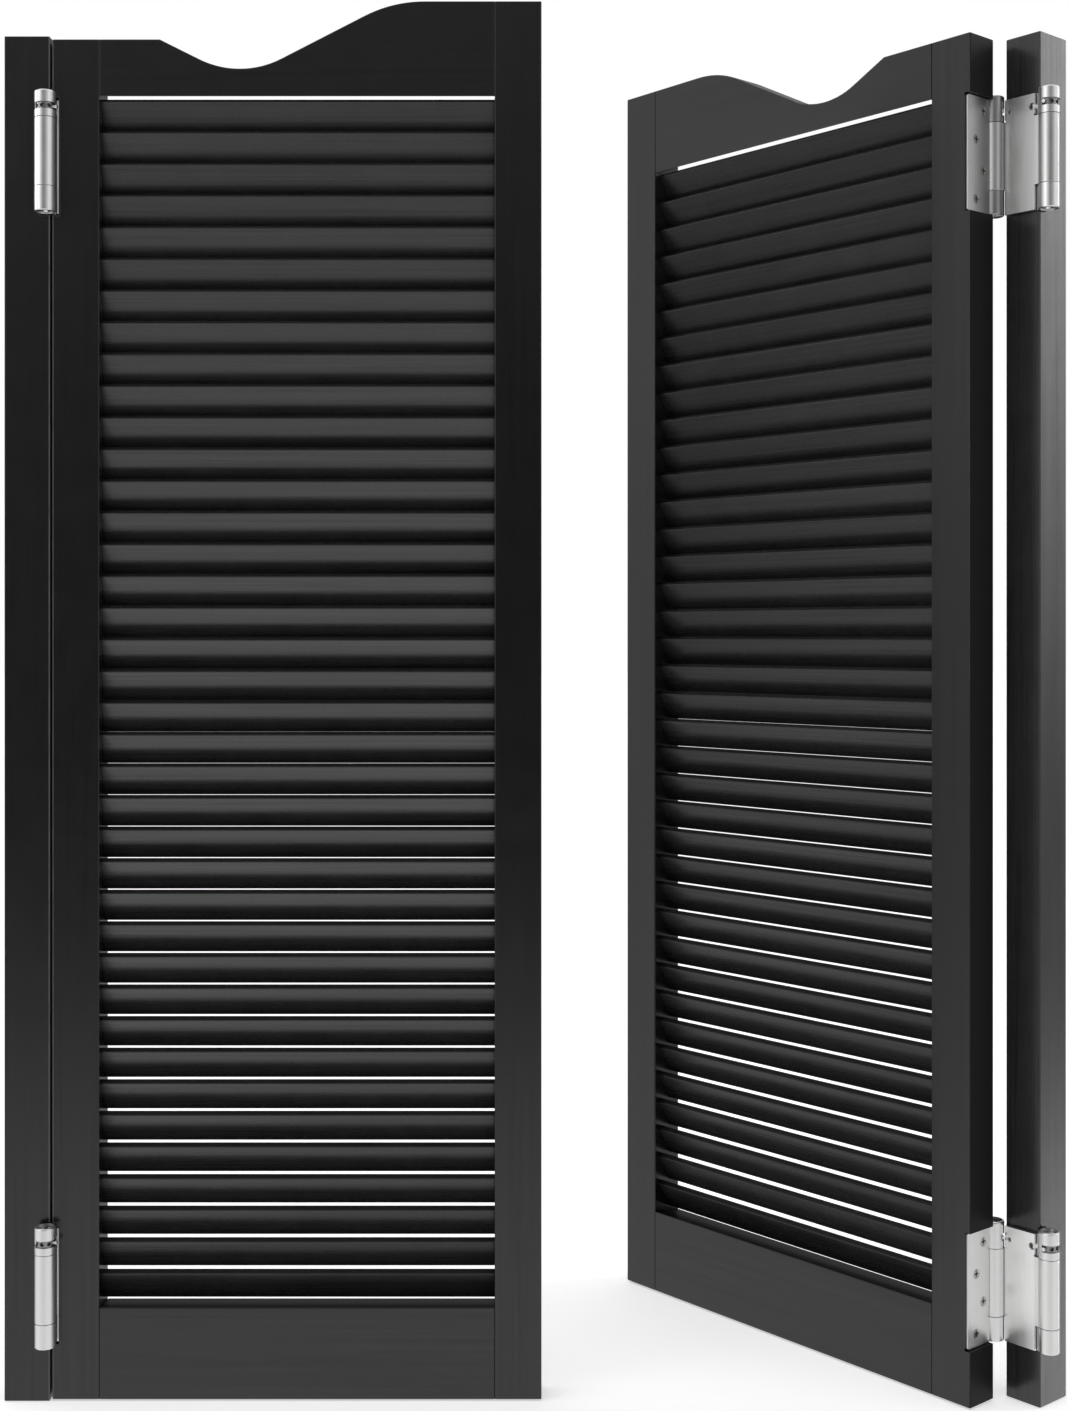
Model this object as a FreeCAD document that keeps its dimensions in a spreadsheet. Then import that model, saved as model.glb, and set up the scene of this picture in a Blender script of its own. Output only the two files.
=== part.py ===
import FreeCAD, Part
import Sketcher
import math
import os
import sys
from FreeCAD import Vector, Placement, Rotation

# A pair of louvred cafe doors. Each door hangs on its own jamb post by two
# double-action spring hinges. Millimetres. X runs across the opening from the
# left post's wall face, the fronts face -Y, +Z is up, and Z = 0 is the middle
# of the posts. Everything is first built closed and in line; the right-hand
# unit is the mirror image, turned out of line with its door held open.

doc = FreeCAD.newDocument("cafe_swinging_doors")
sheet = doc.addObject("Spreadsheet::Sheet", "dims")

DIMS = [
    ("opening_w", 914.4, "wall to wall, both units in line"),
    ("post_w", 38.5, "post width across the opening"),
    ("post_d", 33.8, "post depth front to back"),
    ("post_h", 1155.3, "post height"),
    ("seam", 2.0, "gap between post and door edge"),
    ("leaf_w", 414.2, "door width"),
    ("leaf_t", 32.8, "door thickness"),
    ("leaf_bot", -576.4, "door bottom"),
    ("leaf_top", 575.2, "door top at the hinge side"),
    ("crown_top", 607.5, "door top at the meeting side"),
    ("stile_w", 39.7, "stile width"),
    ("arris", 0.9, "rounding of the wood's edges"),
    ("rail_lo_top", -498.6, "bottom rail top edge, front"),
    ("rail_lo_fall", 3.7, "fall of that edge to the back"),
    ("rail_up_bot", 526.8, "top rail lower edge, front"),
    ("rail_up_rise", 12.5, "rise of that edge to the back"),
    ("scallop_x", 131.4, "start of the scallop from the wall face"),
    ("scallop_r", 76.8, "hollow radius"),
    ("crown_r", 111.7, "crown radius"),
    ("crown_x", 355.7, "where the crown runs level"),
    ("scallop_fall", 26.5, "slope into the hollow, degrees"),
    ("scallop_rise", 27.2, "slope out of the hollow, degrees"),
    ("slat_n", 38, "louvre slats in one door"),
    ("slat_pitch", 26.94, "slat spacing"),
    ("slat_w", 28.9, "slat board width"),
    ("slat_t", 6.0, "slat board thickness"),
    ("slat_tilt", 31.0, "slat tilt from upright, degrees"),
    ("slat_top", 527.4, "first slat, front upper edge height"),
    ("slat_house", 6.0, "slat end housed in the stile"),
    ("slat_round", 0.6, "slat edge rounding"),
    ("dowel_r", 4.0, "rail dowel radius"),
    ("dowel_len", 56.0, "rail dowel length"),
    ("hinge_z", 478.0, "hinge centre above and below the middle"),
    ("hinge_mid", 42.25, "centre plane of the hinge stack"),
    ("front_x", 36.5, "front barrel axis across the opening"),
    ("back_x", 46.0, "back barrel axis across the opening"),
    ("barrel_y", 24.3, "barrel axes before and behind the middle plane"),
    ("barrel_r", 9.0, "barrel outer radius"),
    ("barrel_h", 101.6, "barrel length"),
    ("tube_lo", -29.7, "centre tube bottom"),
    ("tube_hi", 27.9, "centre tube top"),
    ("knuckle_gap", 0.35, "gap at the ends of the centre tube"),
    ("knuckle_bore", 7.4, "bore of the end knuckles"),
    ("tube_bore", 6.9, "bore of the centre tube"),
    ("plate_t", 2.0, "hinge plate thickness"),
    ("web_t", 2.2, "web plate thickness"),
    ("plate_hi", 46.8, "hinge plate top"),
    ("plate_lo", -50.8, "hinge plate bottom"),
    ("plate_edge", 14.6, "free edge of the hinge plate"),
    ("window_lo", 34.4, "adjusting window bottom"),
    ("window_hi", 40.4, "adjusting window top"),
    ("ring_top", 48.0, "adjusting ring top"),
    ("ring_hole", 1.75, "adjusting ring hole radius"),
    ("pin_r", 1.7, "tension pin radius"),
    ("spindle_r", 4.0, "spindle radius"),
    ("fit", 0.05, "radial running clearance"),
    ("relief", 0.7, "room between the wood and a barrel"),
    ("spring_r", 5.5, "spring mean radius"),
    ("spring_wire", 0.9, "spring wire radius"),
    ("spring_pitch", 4.0, "spring coil pitch"),
    ("screw_head_r", 4.1, "screw head radius"),
    ("screw_r", 1.9, "screw shank radius"),
    ("screw_len", 28.0, "screw length"),
    ("turn", 40.9, "right-hand unit turned out of line, degrees"),
    ("turn_x", 894.04, "turning axis of the right-hand unit"),
    ("turn_y", -28.55, "turning axis of the right-hand unit"),
    ("held_open", 90.0, "right-hand door held open, degrees"),
]
for row, (alias, value, note) in enumerate(DIMS, start=1):
    sheet.set("A%d" % row, note)
    sheet.set("B%d" % row, repr(value))
    sheet.setAlias("B%d" % row, alias)
doc.recompute()


class Q:
    """A size: the expression that the document keeps, and its present value."""

    def __init__(self, text, value):
        self.text = text
        self.value = value

    def __add__(self, o):
        o = q(o)
        return Q("(%s + %s)" % (self.text, o.text), self.value + o.value)

    def __radd__(self, o):
        return q(o) + self

    def __sub__(self, o):
        o = q(o)
        return Q("(%s - %s)" % (self.text, o.text), self.value - o.value)

    def __rsub__(self, o):
        return q(o) - self

    def __mul__(self, o):
        o = q(o)
        return Q("(%s * %s)" % (self.text, o.text), self.value * o.value)

    def __rmul__(self, o):
        return q(o) * self

    def __truediv__(self, o):
        o = q(o)
        return Q("(%s / %s)" % (self.text, o.text), self.value / o.value)

    def __neg__(self):
        return Q("(0 - %s)" % self.text, -self.value)


def q(x):
    return x if isinstance(x, Q) else Q("%.6f" % x, float(x))


def D(alias):
    return Q("dims." + alias, float(sheet.get(alias)))


def qsin(a):
    return Q("sin(%s * 1 deg)" % a.text, math.sin(math.radians(a.value)))


def qcos(a):
    return Q("cos(%s * 1 deg)" % a.text, math.cos(math.radians(a.value)))


V = {alias: float(sheet.get(alias)) for alias, _, _ in DIMS}

# ---------------------------------------------------------------- helpers
count = {"n": 0}


def new(kind, name):
    count["n"] += 1
    return doc.addObject(kind, "%s_%d" % (name, count["n"]))


def base(obj, x, y, z):
    for axis, v in (("x", x), ("y", y), ("z", z)):
        obj.setExpression("Placement.Base." + axis, q(v).text)


def box(name, s, x0, x1, y0, y1, z0, z1):
    """A box between two corners; s = -1 mirrors it to the right-hand unit."""
    x0, x1, y0, y1, z0, z1 = [q(v) for v in (x0, x1, y0, y1, z0, z1)]
    if s < 0:
        x0, x1 = -x1, -x0
    b = new("Part::Box", name)
    b.setExpression("Length", (x1 - x0).text)
    b.setExpression("Width", (y1 - y0).text)
    b.setExpression("Height", (z1 - z0).text)
    base(b, x0, y0, z0)
    return b


def cyl(name, s, x, y, z0, z1, r):
    """An upright cylinder."""
    x, y, z0, z1, r = [q(v) for v in (x, y, z0, z1, r)]
    c = new("Part::Cylinder", name)
    c.setExpression("Radius", r.text)
    c.setExpression("Height", (z1 - z0).text)
    base(c, x if s > 0 else -x, y, z0)
    return c


def rod(name, s, x, y, z, direction, length, r):
    """A cylinder that lies along a level direction, from the point given."""
    dx, dy = direction
    c = new("Part::Cylinder", name)
    c.Placement = Placement(Vector(0, 0, 0),
                            Rotation(Vector(0, 0, 1), Vector(s * dx, dy, 0)))
    c.setExpression("Radius", q(r).text)
    c.setExpression("Height", q(length).text)
    x = q(x)
    base(c, x if s > 0 else -x, y, z)
    return c


def cone(name, s, x, y, z0, z1, r0, r1):
    c = new("Part::Cone", name)
    c.setExpression("Radius1", q(r0).text)
    c.setExpression("Radius2", q(r1).text)
    c.setExpression("Height", (q(z1) - q(z0)).text)
    x = q(x)
    base(c, x if s > 0 else -x, y, z0)
    return c


def fuse(name, items):
    f = new("Part::MultiFuse", name)
    f.Shapes = items
    f.Refine = True
    return f


def group(name, items):
    g = new("Part::Compound", name)
    g.Links = items
    return g


def cut(name, body, tools):
    c = new("Part::Cut", name)
    c.Base = body
    c.Tool = tools[0] if len(tools) == 1 else group(name + "_tools", tools)
    c.Refine = True
    return c


def round_edges(name, body, wanted, radius):
    doc.recompute()
    f = new("Part::Fillet", name)
    f.Base = body
    f.Edges = [(i, radius, radius) for i, e in enumerate(body.Shape.Edges, 1)
               if wanted(e)]
    return f


def origin_plane(body, role):
    return [o for o in body.Origin.OriginFeatures if o.Role == role][0]


def body_with_outline(name, role, offset, corners, length):
    """A PartDesign body: a closed outline on an origin plane, padded."""
    body = new("PartDesign::Body", name)
    sk = body.newObject("Sketcher::SketchObject", name + "_outline")
    sk.AttachmentSupport = [(origin_plane(body, role), "")]
    sk.MapMode = "FlatFace"
    sk.setExpression("AttachmentOffset.Base.z", q(offset).text)
    pts = [(q(a), q(b)) for a, b in corners]
    n = len(pts)
    for i in range(n):
        a, b = pts[i], pts[(i + 1) % n]
        sk.addGeometry(Part.LineSegment(Vector(a[0].value, a[1].value, 0),
                                        Vector(b[0].value, b[1].value, 0)), False)
    for i in range(n):
        sk.addConstraint(Sketcher.Constraint("Coincident", i, 2, (i + 1) % n, 1))
    for i in range(n):
        for kind, v in (("DistanceX", pts[i][0]), ("DistanceY", pts[i][1])):
            k = sk.addConstraint(Sketcher.Constraint(kind, -1, 1, i, 1, v.value))
            sk.setExpression("Constraints[%d]" % k, v.text)
    pad = body.newObject("PartDesign::Pad", name + "_pad")
    pad.Profile = sk
    pad.setExpression("Length", q(length).text)
    doc.recompute()
    return body, pad


def soften(body, feature, wanted, radius):
    """Round the long edges of a PartDesign body."""
    f = body.newObject("PartDesign::Fillet", body.Name + "_arris")
    f.Base = (feature, ["Edge%d" % i for i, e in enumerate(feature.Shape.Edges, 1)
                        if wanted(e)])
    f.setExpression("Radius", q(radius).text)
    body.Tip = f
    doc.recompute()
    return f


def along(e, axis):
    if e.Curve.TypeId != "Part::GeomLine":
        return False
    t = e.Curve.Direction
    return abs(getattr(t, axis)) > 0.999


NODES = []


def node(obj, label, body):
    """Name a finished sub-part and say which body carries it."""
    obj.Label = label
    NODES.append((obj, label, body))
    return obj


# ------------------------------------------------------------ derived sizes
x_edge = D("post_w") + D("seam")              # door's hinge edge
x_in = x_edge + D("stile_w")                  # inner edge of the hinge stile
x_free = x_edge + D("leaf_w")                 # door's meeting edge
x_out = x_free - D("stile_w")                 # inner edge of the meeting stile
half_t = D("leaf_t") / 2
half_post = D("post_d") / 2
back_x = D("back_x")                          # back barrel axis
jamb_x1 = D("post_w") + D("plate_t")          # jamb leaf lies on the post
door_x0 = D("hinge_mid") * 2 - jamb_x1        # door leaf, let into the stile
door_x1 = door_x0 + D("plate_t")
web_x0 = D("hinge_mid") - D("web_t") / 2
web_x1 = D("hinge_mid") + D("web_t") / 2
half_barrel = D("barrel_h") / 2
LEVELS = (("upper", D("hinge_z")), ("lower", -D("hinge_z")))
# screws in a leaf: heights below the plate's top and distance from the
# middle plane, staggered in two rows
SCREWS = ((11.0, 7.2), (36.2, -2.6), (61.4, 7.2), (86.6, -2.6))


# ------------------------------------------------------------------- wood
def slat_master(s):
    """One louvre slat: its front edge is high and its back edge is low."""
    c, n = qcos(D("slat_tilt")), qsin(D("slat_tilt"))
    w, t = D("slat_w"), D("slat_t")
    depth = w * n + t * c
    y0 = -(depth / 2)                  # foremost point: lower front corner
    z0 = q(0)
    # corners, starting at the upper front corner of the top edge
    a = (y0, z0 - t * n)
    b = (y0 + t * c, z0)
    cc = (y0 + t * c + w * n, z0 - w * c)
    d = (y0 + w * n, z0 - w * c - t * n)
    start = x_in - D("slat_house")
    length = x_out - x_in + D("slat_house") * 2
    off = start if s > 0 else -(start + length)
    body, pad = body_with_outline("slat_board", "YZ_Plane", off,
                                  [a, b, cc, d], length)
    soften(body, pad, lambda e: along(e, "x"), D("slat_round"))
    return body


def slat_bank(s):
    master = slat_master(s)
    doc.recompute()
    shapes = []
    for k in range(int(V["slat_n"])):
        one = master.Shape.copy()
        one.translate(Vector(0, 0, V["slat_top"] - k * V["slat_pitch"]))
        shapes.append(one)
    return shapes


def shapes_feature(name, shapes):
    f = new("Part::Feature", name)
    f.Shape = Part.makeCompound(shapes)
    return f


def dowel_rods(s):
    out = []
    half = D("dowel_len") / 2
    for x, heights in ((x_in, (-560.0, -537.0, -508.0, 541.5, 560.0)),
                       (x_out, (-560.0, -537.0, -508.0, 543.0, 566.0, 589.0))):
        for z in heights:
            out.append(rod("dowel", s, x - half, 0, z, (1, 0),
                           D("dowel_len"), D("dowel_r")))
    return out


def screw_master():
    """A countersunk cross-head wood screw, point down -Z, head top at Z = 0."""
    body = new("PartDesign::Body", "screw")
    sk = body.newObject("Sketcher::SketchObject", "screw_half")
    sk.AttachmentSupport = [(origin_plane(body, "XZ_Plane"), "")]
    sk.MapMode = "FlatFace"
    r, h, ln = D("screw_r"), D("screw_head_r"), D("screw_len")
    # a little smaller than its countersink, and a little sunk in it
    pts = [(q(0), q(-0.2)), (h - 0.55, q(-0.2)), (h - 0.55, q(-0.725)),
           (r, q(-2.0)), (r, -ln + 6), (q(0), -ln)]
    n = len(pts)
    for i in range(n):
        a, b = pts[i], pts[(i + 1) % n]
        sk.addGeometry(Part.LineSegment(Vector(a[0].value, a[1].value, 0),
                                        Vector(b[0].value, b[1].value, 0)), False)
    for i in range(n):
        sk.addConstraint(Sketcher.Constraint("Coincident", i, 2, (i + 1) % n, 1))
    for i in range(n):
        for kind, v in (("DistanceX", pts[i][0]), ("DistanceY", pts[i][1])):
            k = sk.addConstraint(Sketcher.Constraint(kind, -1, 1, i, 1, v.value))
            sk.setExpression("Constraints[%d]" % k, v.text)
    rev = body.newObject("PartDesign::Revolution", "screw_turned")
    rev.Profile = sk
    rev.ReferenceAxis = (sk, ["V_Axis"])
    rev.Angle = 360.0
    doc.recompute()
    full = body.Shape.Volume
    cross = body.newObject("Sketcher::SketchObject", "screw_recess")
    cross.AttachmentSupport = [(origin_plane(body, "XY_Plane"), "")]
    cross.MapMode = "FlatFace"
    a, b = 2.6, 0.7
    out = [(a, -b), (a, b), (b, b), (b, a), (-b, a), (-b, b), (-a, b), (-a, -b),
           (-b, -b), (-b, -a), (b, -a), (b, -b)]
    m = len(out)
    for i in range(m):
        p, w = out[i], out[(i + 1) % m]
        cross.addGeometry(Part.LineSegment(Vector(p[0], p[1], 0),
                                           Vector(w[0], w[1], 0)), False)
    for i in range(m):
        cross.addConstraint(Sketcher.Constraint("Coincident", i, 2, (i + 1) % m, 1))
    pk = body.newObject("PartDesign::Pocket", "screw_drive")
    pk.Profile = cross
    pk.Length = 1.5
    body.Tip = pk
    doc.recompute()
    if body.Shape.Volume > full - 1.0:
        pk.Reversed = True
        doc.recompute()
    if body.Shape.Volume > full - 1.0:
        sys.exit("the screw's recess cuts nothing")
    return body


SCREW = screw_master()


def screw_places(s, side):
    """Placements of a hinge leaf's screws, head out, for post or door."""
    out = []
    for _, hz in LEVELS:
        for drop, y in SCREWS:
            z = hz.value + V["plate_hi"] - drop
            if side == "door":
                x, aim = door_x0.value, 1.0
            else:
                x, aim = jamb_x1.value, -1.0
                y = -y
            rot = Rotation(Vector(0, 0, -1), Vector(s * aim, 0, 0))
            out.append(Placement(Vector(s * x, y, z), rot))
    return out


def screw_shapes(s, side):
    shapes = []
    for p in screw_places(s, side):
        one = SCREW.Shape.copy()
        one.Placement = p.multiply(one.Placement)
        shapes.append(one)
    return shapes


def screw_clear(s, side, head):
    """What the screws take out: the plain shank and head, no drive recess."""
    shapes = []
    r, h, ln = V["screw_r"], V["screw_head_r"], V["screw_len"]
    for p in screw_places(s, side):
        prof = [Vector(0, 0, 0.5), Vector(h, 0, 0.5), Vector(h, 0, -0.3),
                Vector(r, 0, -2.0), Vector(r, 0, -ln + 6), Vector(0, 0, -ln),
                Vector(0, 0, 0.5)]
        solid = Part.Face(Part.makePolygon(prof)).revolve(
            Vector(0, 0, 0), Vector(0, 0, 1), 360)
        solid.Placement = p
        shapes.append(solid)
    return shapes


def wood_parts(side, s):
    post_body, leaf_body = side + "_post", side + "_leaf"
    hb, r = half_barrel, D("barrel_r") + D("relief")

    # the jamb post, with a shallow hollow where each front barrel lies
    body, pad = body_with_outline(
        side + "_post_blank", "XY_Plane", -(D("post_h") / 2),
        [((q(0) if s > 0 else -D("post_w")), -half_post),
         ((D("post_w") if s > 0 else q(0)), -half_post),
         ((D("post_w") if s > 0 else q(0)), half_post),
         ((q(0) if s > 0 else -D("post_w")), half_post)], D("post_h"))
    soften(body, pad, lambda e: True, D("arris"))
    tools = [cyl("barrel_hollow", s, D("front_x"), -D("barrel_y"),
                 hz - hb - 1.0, hz + hb + 1.0, r) for _, hz in LEVELS]
    tools.append(shapes_feature("jamb_pilots", screw_clear(s, "jamb", False)))
    node(cut(side + "_post_cut", body, tools), side + "_post", post_body)

    # hinge stile: full height, let in for the door leaves, slotted for slats
    xa, xb = (x_edge, x_in) if s > 0 else (-x_in, -x_edge)
    body, pad = body_with_outline(
        side + "_hinge_stile_blank", "XY_Plane", D("leaf_bot"),
        [(xa, -half_t), (xb, -half_t), (xb, half_t), (xa, half_t)],
        D("leaf_top") - D("leaf_bot"))
    soften(body, pad, lambda e: True, D("arris"))
    slats = slat_bank(s)
    tools = []
    for _, hz in LEVELS:
        tools.append(box("leaf_bed", s, x_edge - 2, door_x1, -half_t - 1,
                         half_t + 1, hz + D("plate_lo") - 0.8,
                         hz + D("plate_hi") + 0.8))
        tools.append(cyl("back_barrel_hollow", s, back_x, D("barrel_y"),
                         hz - hb - 1.0, hz + hb + 1.0, r))
    tools.append(shapes_feature("door_pilots", screw_clear(s, "door", False)))
    tools.append(shapes_feature("slat_slots", slats))
    tools += dowel_rods(s)
    node(cut(side + "_hinge_stile_cut", body, tools),
         side + "_hinge_stile", leaf_body)

    # meeting stile: rises to the crown
    xa, xb = (x_out, x_free) if s > 0 else (-x_free, -x_out)
    body, pad = body_with_outline(
        side + "_meeting_stile_blank", "XY_Plane", D("leaf_bot"),
        [(xa, -half_t), (xb, -half_t), (xb, half_t), (xa, half_t)],
        D("crown_top") - D("leaf_bot"))
    soften(body, pad, lambda e: True, D("arris"))
    node(cut(side + "_meeting_stile_cut", body,
             [shapes_feature("slat_slots", slats)] + dowel_rods(s)),
         side + "_meeting_stile", leaf_body)

    # bottom rail: its top edge falls to the back
    length = x_out - x_in
    off = x_in if s > 0 else -x_out
    body, pad = body_with_outline(
        side + "_bottom_rail_blank", "YZ_Plane", off,
        [(-half_t, D("leaf_bot")), (half_t, D("leaf_bot")),
         (half_t, D("rail_lo_top") - D("rail_lo_fall")),
         (-half_t, D("rail_lo_top"))], length)
    soften(body, pad, lambda e: True, D("arris"))
    node(cut(side + "_bottom_rail_cut", body, dowel_rods(s)),
         side + "_bottom_rail", leaf_body)

    # top rail: a level shoulder, a hollow and a crown
    node(top_rail(side, s), side + "_top_rail", leaf_body)

    bank = new("Part::Feature", side + "_slat_bank")
    bank.Shape = Part.makeCompound(slats)
    node(bank, side + "_louvre_slats", leaf_body)
    node(group(side + "_dowel_group", dowel_rods(s)),
         side + "_rail_dowels", leaf_body)


def top_rail(side, s):
    body = new("PartDesign::Body", side + "_top_rail_blank")
    sk = body.newObject("Sketcher::SketchObject", side + "_top_rail_outline")
    sk.AttachmentSupport = [(origin_plane(body, "XZ_Plane"), "")]
    sk.MapMode = "FlatFace"
    sk.setExpression("AttachmentOffset.Base.z", (-half_t).text)
    fa, ra = math.radians(V["scallop_fall"]), math.radians(V["scallop_rise"])
    zt, zc = V["leaf_top"], V["crown_top"]
    # line out of the hollow meets the crown line at x_i
    x_i = V["crown_x"] - V["crown_r"] * math.tan(ra / 2)
    # line into the hollow: z = zt - tan(fa) (x - x_s); line out of it:
    # z = zc - tan(ra) (x_i - x)
    xs = V["scallop_x"]
    xv = (zt + math.tan(fa) * xs - zc + math.tan(ra) * x_i) / (
        math.tan(fa) + math.tan(ra))
    zv = zt - math.tan(fa) * (xv - xs)
    run = V["scallop_r"] * math.tan((fa + ra) / 2)
    p1 = (xv - run * math.cos(fa), zv + run * math.sin(fa))
    p2 = (xv + run * math.cos(ra), zv + run * math.sin(ra))
    cen1 = (p1[0] + V["scallop_r"] * math.sin(fa),
            p1[1] + V["scallop_r"] * math.cos(fa))
    t2 = V["crown_r"] * math.tan(ra / 2)
    p3 = (x_i - t2 * math.cos(ra), zc - t2 * math.sin(ra))
    p4 = (V["crown_x"], zc)
    cen2 = (V["crown_x"], zc - V["crown_r"])
    xin, xout, zb = x_in.value, x_out.value, V["rail_up_bot"]

    def pt(p):
        return Vector(s * p[0], p[1], 0)

    def line(a, b):
        return sk.addGeometry(Part.LineSegment(pt(a), pt(b)), False)

    def arc(c, r, a, b):
        """The short arc from a to b."""
        ca = math.atan2(a[1] - c[1], s * (a[0] - c[0]))
        cb = math.atan2(b[1] - c[1], s * (b[0] - c[0]))
        circ = Part.Circle(pt(c), Vector(0, 0, 1), r)
        ccw = (cb - ca) % (2 * math.pi) < math.pi
        lo, hi = (ca, cb) if ccw else (cb, ca)
        i = sk.addGeometry(Part.ArcOfCircle(circ, lo, hi), False)
        return i, (1, 2) if ccw else (2, 1)

    g0 = line((xin, zb), (xin, zt))
    g1 = line((xin, zt), (xs, zt))
    g2 = line((xs, zt), p1)
    g3, e3 = arc(cen1, V["scallop_r"], p1, p2)
    g4 = line(p2, p3)
    g5, e5 = arc(cen2, V["crown_r"], p3, p4)
    g6 = line(p4, (xout, zc))
    g7 = line((xout, zc), (xout, zb))
    g8 = line((xout, zb), (xin, zb))
    add = sk.addConstraint
    C = Sketcher.Constraint
    add(C("Coincident", g0, 2, g1, 1))
    add(C("Coincident", g1, 2, g2, 1))
    add(C("Tangent", g2, 2, g3, e3[0]))
    add(C("Tangent", g3, e3[1], g4, 1))
    add(C("Tangent", g4, 2, g5, e5[0]))
    add(C("Tangent", g5, e5[1], g6, 1))
    add(C("Coincident", g6, 2, g7, 1))
    add(C("Coincident", g7, 2, g8, 1))
    add(C("Coincident", g8, 2, g0, 1))
    for g in (g0, g7):
        add(C("Vertical", g))
    for g in (g1, g6, g8):
        add(C("Horizontal", g))

    def bind(kind, geo, pos, size):
        k = add(C(kind, -1, 1, geo, pos, size.value))
        sk.setExpression("Constraints[%d]" % k, size.text)

    sx = (lambda v: v) if s > 0 else (lambda v: -v)
    bind("DistanceX", g0, 1, sx(x_in))
    bind("DistanceY", g0, 1, D("rail_up_bot"))
    bind("DistanceY", g0, 2, D("leaf_top"))
    bind("DistanceX", g2, 1, sx(D("scallop_x")))
    bind("DistanceX", g6, 1, sx(D("crown_x")))
    bind("DistanceY", g6, 1, D("crown_top"))
    bind("DistanceX", g7, 1, sx(x_out))
    for g, alias in ((g3, "scallop_r"), (g5, "crown_r")):
        k = add(C("Radius", g, V[alias]))
        sk.setExpression("Constraints[%d]" % k, D(alias).text)
    doc.recompute()
    pad = body.newObject("PartDesign::Pad", side + "_top_rail_pad")
    pad.Profile = sk
    pad.setExpression("Length", D("leaf_t").text)
    doc.recompute()
    soften(body, pad, lambda e: not along(e, "y"), D("arris"))
    # the lower edge rises to the back
    wedge = new("Part::Box", "rail_splay")
    ang = math.degrees(math.atan2(V["rail_up_rise"], V["leaf_t"]))
    wedge.Length = xout - xin + 20
    wedge.Width = V["leaf_t"] * 2
    wedge.Height = 30
    place = Placement(Vector(min(s * (xin - 10), s * (xout + 10)),
                             -V["leaf_t"] / 2 + 0.01, V["rail_up_bot"]),
                      Rotation(Vector(1, 0, 0), ang))
    wedge.Placement = place.multiply(
        Placement(Vector(0, -10, -30), Rotation()))
    return cut(side + "_top_rail_cut", body, [wedge] + dowel_rods(s))


# ------------------------------------------------------------------ hinges
def barrel_end(name, s, x, y, z0, z1, rounded):
    """An end knuckle, its outer rim rounded where it is the barrel's cap."""
    c = cyl(name, s, x, y, z0, z1, D("barrel_r"))
    top = q(z1).value
    return round_edges(name + "_rim", c, lambda e: e.Curve.TypeId ==
                       "Part::GeomCircle" and abs(e.BoundBox.ZMin - top) < 1e-6
                       and abs(e.BoundBox.ZMax - top) < 1e-6,
                       1.5) if rounded == "top" else round_edges(
        name + "_rim", c, lambda e: e.Curve.TypeId == "Part::GeomCircle" and
        abs(e.BoundBox.ZMax - q(z0).value) < 1e-6, 1.0)


def fixed_leaf(name, s, hz, which):
    """A hinge plate with its top and bottom knuckles.

    which = "jamb": lies on the post, knuckles on the front barrel.
    which = "door": let into the door's edge, knuckles on the back barrel."""
    if which == "jamb":
        ax, ay, x0, x1, back = D("front_x"), -D("barrel_y"), D("post_w"), jamb_x1, 1
    else:
        ax, ay, x0, x1, back = back_x, D("barrel_y"), door_x0, door_x1, -1
    hb, gap = half_barrel, D("knuckle_gap")
    lo, hi = hz + D("plate_lo"), hz + D("plate_hi")
    t0, t1 = hz + D("tube_lo"), hz + D("tube_hi")
    edge = D("plate_edge")
    if back > 0:
        plate = box("plate", s, x0, x1, ay, edge, lo, hi)
    else:
        plate = box("plate", s, x0, x1, -edge, ay, lo, hi)
    doc.recompute()
    far = edge.value * back
    plate = round_edges("plate_corners", plate, lambda e: along(e, "x") and
                        abs(e.BoundBox.YMin - far) < 1e-6, 1.5)
    top = barrel_end("top_knuckle", s, ax, ay, t1 + gap, hz + hb, "top")
    bot = barrel_end("bottom_knuckle", s, ax, ay, hz - hb, t0 - gap, "bottom")
    tools = [cyl("bore", s, ax, ay, hz - hb - 5, hz + hb + 5, D("knuckle_bore"))]
    # room for the web's centre tube
    tools.append(cyl("tube_room", s, ax, ay, t0 - gap, t1 + gap,
                     D("barrel_r") + 0.35))
    if back > 0:
        tools.append(box("tube_side", s, x0 - 8, x1 + 8, ay - 12, ay, t0 - gap, t1 + gap))
        tools.append(box("window", s, ax - 14, ax + 14, ay - 14, ay + 1,
                         hz + D("window_lo"), hz + D("window_hi")))
    else:
        tools.append(box("tube_side", s, x0 - 8, x1 + 8, ay, ay + 12, t0 - gap, t1 + gap))
        tools.append(box("window", s, ax - 14, ax + 14, ay - 1, ay + 14,
                         hz + D("window_lo"), hz + D("window_hi")))
    holes = [sh for sh in screw_clear(s, which, True)
             if abs(sh.BoundBox.Center.z - hz.value) < 80]
    tools.append(shapes_feature("screw_holes", holes))
    return cut(name, fuse("leaf_blank", [plate, top, bot]), tools)


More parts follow.
